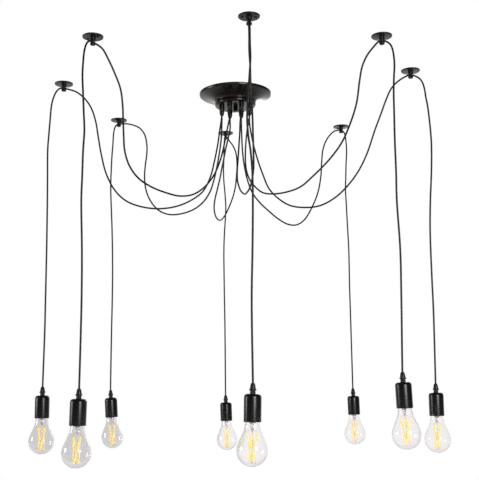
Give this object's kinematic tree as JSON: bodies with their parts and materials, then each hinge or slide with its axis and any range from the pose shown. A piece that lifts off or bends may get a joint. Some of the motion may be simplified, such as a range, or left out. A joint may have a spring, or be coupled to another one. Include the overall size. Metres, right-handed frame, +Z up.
{
  "type": "multi-light pendant light",
  "caption": "Ceiling light whose bulbs hang on long black cords that swag from one round canopy over a ring of ceiling hooks.",
  "frame": {"origin": "middle of the canopy's ceiling face, on the ceiling plane", "axes": "+Z up; the pictured view looks along +Y, with +X to its right"},
  "size_m": [0.9789, 0.949, 0.9432],
  "materials": {
    "canopy_metal": "satin dark grey paint",
    "bracket_steel": "zinc-plated steel",
    "nut_black": "satin black",
    "terminal_plastic": "off-white plastic",
    "cord_black": "matt black sheath",
    "hook_metal": "satin dark grey paint",
    "holder_black": "satin black paint",
    "bulb_glass": "clear glass",
    "bulb_core": "metal screw cap, pale yellow strips"
  },
  "bodies": {
    "ceiling_side": {"canopy_cover": "canopy_metal", "ceiling_bracket": "bracket_steel", "terminal_block": "terminal_plastic", "hook_near": "hook_metal", "feed_cord_near": "cord_black", "hook_near_right": "hook_metal", "feed_cord_near_right": "cord_black", "hook_right": "hook_metal", "feed_cord_right": "cord_black", "hook_far_right": "hook_metal", "feed_cord_far_right": "cord_black", "hook_far": "hook_metal", "feed_cord_far": "cord_black", "hook_far_left": "hook_metal", "feed_cord_far_left": "cord_black", "hook_left": "hook_metal", "feed_cord_left": "cord_black", "hook_near_left": "hook_metal", "feed_cord_near_left": "cord_black"},
    "cover_nut": {"canopy_nut": "nut_black"},
    "pendant_near": {"drop_cord_near": "cord_black", "lampholder_near": "holder_black"},
    "bulb_near": {"bulb_glass_near": "bulb_glass", "bulb_core_near": "bulb_core"},
    "clamp_near": {"hook_cap_near": "hook_metal"},
    "pendant_near_right": {"drop_cord_near_right": "cord_black", "lampholder_near_right": "holder_black"},
    "bulb_near_right": {"bulb_glass_near_right": "bulb_glass", "bulb_core_near_right": "bulb_core"},
    "clamp_near_right": {"hook_cap_near_right": "hook_metal"},
    "pendant_right": {"drop_cord_right": "cord_black", "lampholder_right": "holder_black"},
    "bulb_right": {"bulb_glass_right": "bulb_glass", "bulb_core_right": "bulb_core"},
    "clamp_right": {"hook_cap_right": "hook_metal"},
    "pendant_far_right": {"drop_cord_far_right": "cord_black", "lampholder_far_right": "holder_black"},
    "bulb_far_right": {"bulb_glass_far_right": "bulb_glass", "bulb_core_far_right": "bulb_core"},
    "clamp_far_right": {"hook_cap_far_right": "hook_metal"},
    "pendant_far": {"drop_cord_far": "cord_black", "lampholder_far": "holder_black"},
    "bulb_far": {"bulb_glass_far": "bulb_glass", "bulb_core_far": "bulb_core"},
    "clamp_far": {"hook_cap_far": "hook_metal"},
    "pendant_far_left": {"drop_cord_far_left": "cord_black", "lampholder_far_left": "holder_black"},
    "bulb_far_left": {"bulb_glass_far_left": "bulb_glass", "bulb_core_far_left": "bulb_core"},
    "clamp_far_left": {"hook_cap_far_left": "hook_metal"},
    "pendant_left": {"drop_cord_left": "cord_black", "lampholder_left": "holder_black"},
    "bulb_left": {"bulb_glass_left": "bulb_glass", "bulb_core_left": "bulb_core"},
    "clamp_left": {"hook_cap_left": "hook_metal"},
    "pendant_near_left": {"drop_cord_near_left": "cord_black", "lampholder_near_left": "holder_black"},
    "bulb_near_left": {"bulb_glass_near_left": "bulb_glass", "bulb_core_near_left": "bulb_core"},
    "clamp_near_left": {"hook_cap_near_left": "hook_metal"}
  },
  "joints": [
    {"name": "canopy_nut_turn", "type": "hinge", "parent": "ceiling_side", "child": "cover_nut", "pos_m": [0, 0, -0.0388], "axis": [0, 0, -1], "range_deg": [0, 1440]},
    {"name": "swing_near", "type": "hinge", "parent": "ceiling_side", "child": "pendant_near", "pos_m": [0.03098, -0.498, -0.07], "axis": [-1, 0, 0], "range_deg": [-16, 16], "deforming": ["drop_cord_near"]},
    {"name": "bulb_turn_near", "type": "hinge", "parent": "pendant_near", "child": "bulb_near", "pos_m": [0.02701, -0.498, -0.74986], "axis": [-0.0262, 0, -0.9997], "range_deg": [0, 1440]},
    {"name": "hook_cap_turn_near", "type": "hinge", "parent": "ceiling_side", "child": "clamp_near", "pos_m": [0.03006, -0.4809, -0.0152], "axis": [0, 0, -1], "range_deg": [0, 1080]},
    {"name": "swing_near_right", "type": "hinge", "parent": "ceiling_side", "child": "pendant_near_right", "pos_m": [0.34799, -0.37199, -0.07], "axis": [-0.7071, -0.7071, 0], "range_deg": [-16, 16], "deforming": ["drop_cord_near_right"]},
    {"name": "bulb_turn_near_right", "type": "hinge", "parent": "pendant_near_right", "child": "bulb_near_right", "pos_m": [0.338, -0.37199, -0.73192], "axis": [0.0262, 0, -0.9997], "range_deg": [0, 1440]},
    {"name": "hook_cap_turn_near_right", "type": "hinge", "parent": "ceiling_side", "child": "clamp_near_right", "pos_m": [0.3231, -0.36907, -0.0152], "axis": [0, 0, -1], "range_deg": [0, 1080]},
    {"name": "swing_right", "type": "hinge", "parent": "ceiling_side", "child": "pendant_right", "pos_m": [0.46401, -0.152, -0.07], "axis": [0, -1, 0], "range_deg": [-16, 16], "deforming": ["drop_cord_right"]},
    {"name": "bulb_turn_right", "type": "hinge", "parent": "pendant_right", "child": "bulb_right", "pos_m": [0.45499, -0.152, -0.75766], "axis": [-0.0087, 0, -1], "range_deg": [0, 1440]},
    {"name": "hook_cap_turn_right", "type": "hinge", "parent": "ceiling_side", "child": "clamp_right", "pos_m": [0.42918, -0.15116, -0.0152], "axis": [0, 0, -1], "range_deg": [0, 1080]},
    {"name": "swing_far_right", "type": "hinge", "parent": "ceiling_side", "child": "pendant_far_right", "pos_m": [0.33, 0.32898, -0.07], "axis": [0.7071, -0.7071, 0], "range_deg": [-16, 16], "deforming": ["drop_cord_far_right"]},
    {"name": "bulb_turn_far_right", "type": "hinge", "parent": "pendant_far_right", "child": "bulb_far_right", "pos_m": [0.32602, 0.32898, -0.7717], "axis": [0.0175, 0, -0.9998], "range_deg": [0, 1440]},
    {"name": "hook_cap_turn_far_right", "type": "hinge", "parent": "ceiling_side", "child": "clamp_far_right", "pos_m": [0.31382, 0.31691, -0.0152], "axis": [0, 0, -1], "range_deg": [0, 1080]},
    {"name": "swing_far", "type": "hinge", "parent": "ceiling_side", "child": "pendant_far", "pos_m": [-0.037, 0.39099, -0.07], "axis": [1, 0, 0], "range_deg": [-16, 16], "deforming": ["drop_cord_far"]},
    {"name": "bulb_turn_far", "type": "hinge", "parent": "pendant_far", "child": "bulb_far", "pos_m": [-0.03898, 0.39099, -0.7873], "axis": [0.0262, 0, -0.9997], "range_deg": [0, 1440]},
    {"name": "hook_cap_turn_far", "type": "hinge", "parent": "ceiling_side", "child": "clamp_far", "pos_m": [-0.03094, 0.37084, -0.0152], "axis": [0, 0, -1], "range_deg": [0, 1080]},
    {"name": "swing_far_left", "type": "hinge", "parent": "ceiling_side", "child": "pendant_far_left", "pos_m": [-0.354, 0.23802, -0.07], "axis": [0.7071, 0.7071, 0], "range_deg": [-16, 16], "deforming": ["drop_cord_far_left"]},
    {"name": "bulb_turn_far_left", "type": "hinge", "parent": "pendant_far_left", "child": "bulb_far_left", "pos_m": [-0.35298, 0.23802, -0.76702], "axis": [0.0523, 0, -0.9986], "range_deg": [0, 1440]},
    {"name": "hook_cap_turn_far_left", "type": "hinge", "parent": "ceiling_side", "child": "clamp_far_left", "pos_m": [-0.33592, 0.22807, -0.0152], "axis": [0, 0, -1], "range_deg": [0, 1080]},
    {"name": "swing_left", "type": "hinge", "parent": "ceiling_side", "child": "pendant_left", "pos_m": [-0.45999, -0.096, -0.07], "axis": [0, 1, 0], "range_deg": [-16, 16], "deforming": ["drop_cord_left"]},
    {"name": "bulb_turn_left", "type": "hinge", "parent": "pendant_left", "child": "bulb_left", "pos_m": [-0.46498, -0.096, -0.75376], "axis": [0, 0, -1], "range_deg": [0, 1440]},
    {"name": "hook_cap_turn_left", "type": "hinge", "parent": "ceiling_side", "child": "clamp_left", "pos_m": [-0.43183, -0.0831, -0.0152], "axis": [0, 0, -1], "range_deg": [0, 1080]},
    {"name": "swing_near_left", "type": "hinge", "parent": "ceiling_side", "child": "pendant_near_left", "pos_m": [-0.32399, -0.41102, -0.07], "axis": [-0.7071, 0.7071, 0], "range_deg": [-16, 16], "deforming": ["drop_cord_near_left"]},
    {"name": "bulb_turn_near_left", "type": "hinge", "parent": "pendant_near_left", "child": "bulb_near_left", "pos_m": [-0.32098, -0.41102, -0.75688], "axis": [-0.0262, 0, -0.9997], "range_deg": [0, 1440]},
    {"name": "hook_cap_turn_near_left", "type": "hinge", "parent": "ceiling_side", "child": "clamp_near_left", "pos_m": [-0.30896, -0.38189, -0.0152], "axis": [0, 0, -1], "range_deg": [0, 1080]}
  ]
}
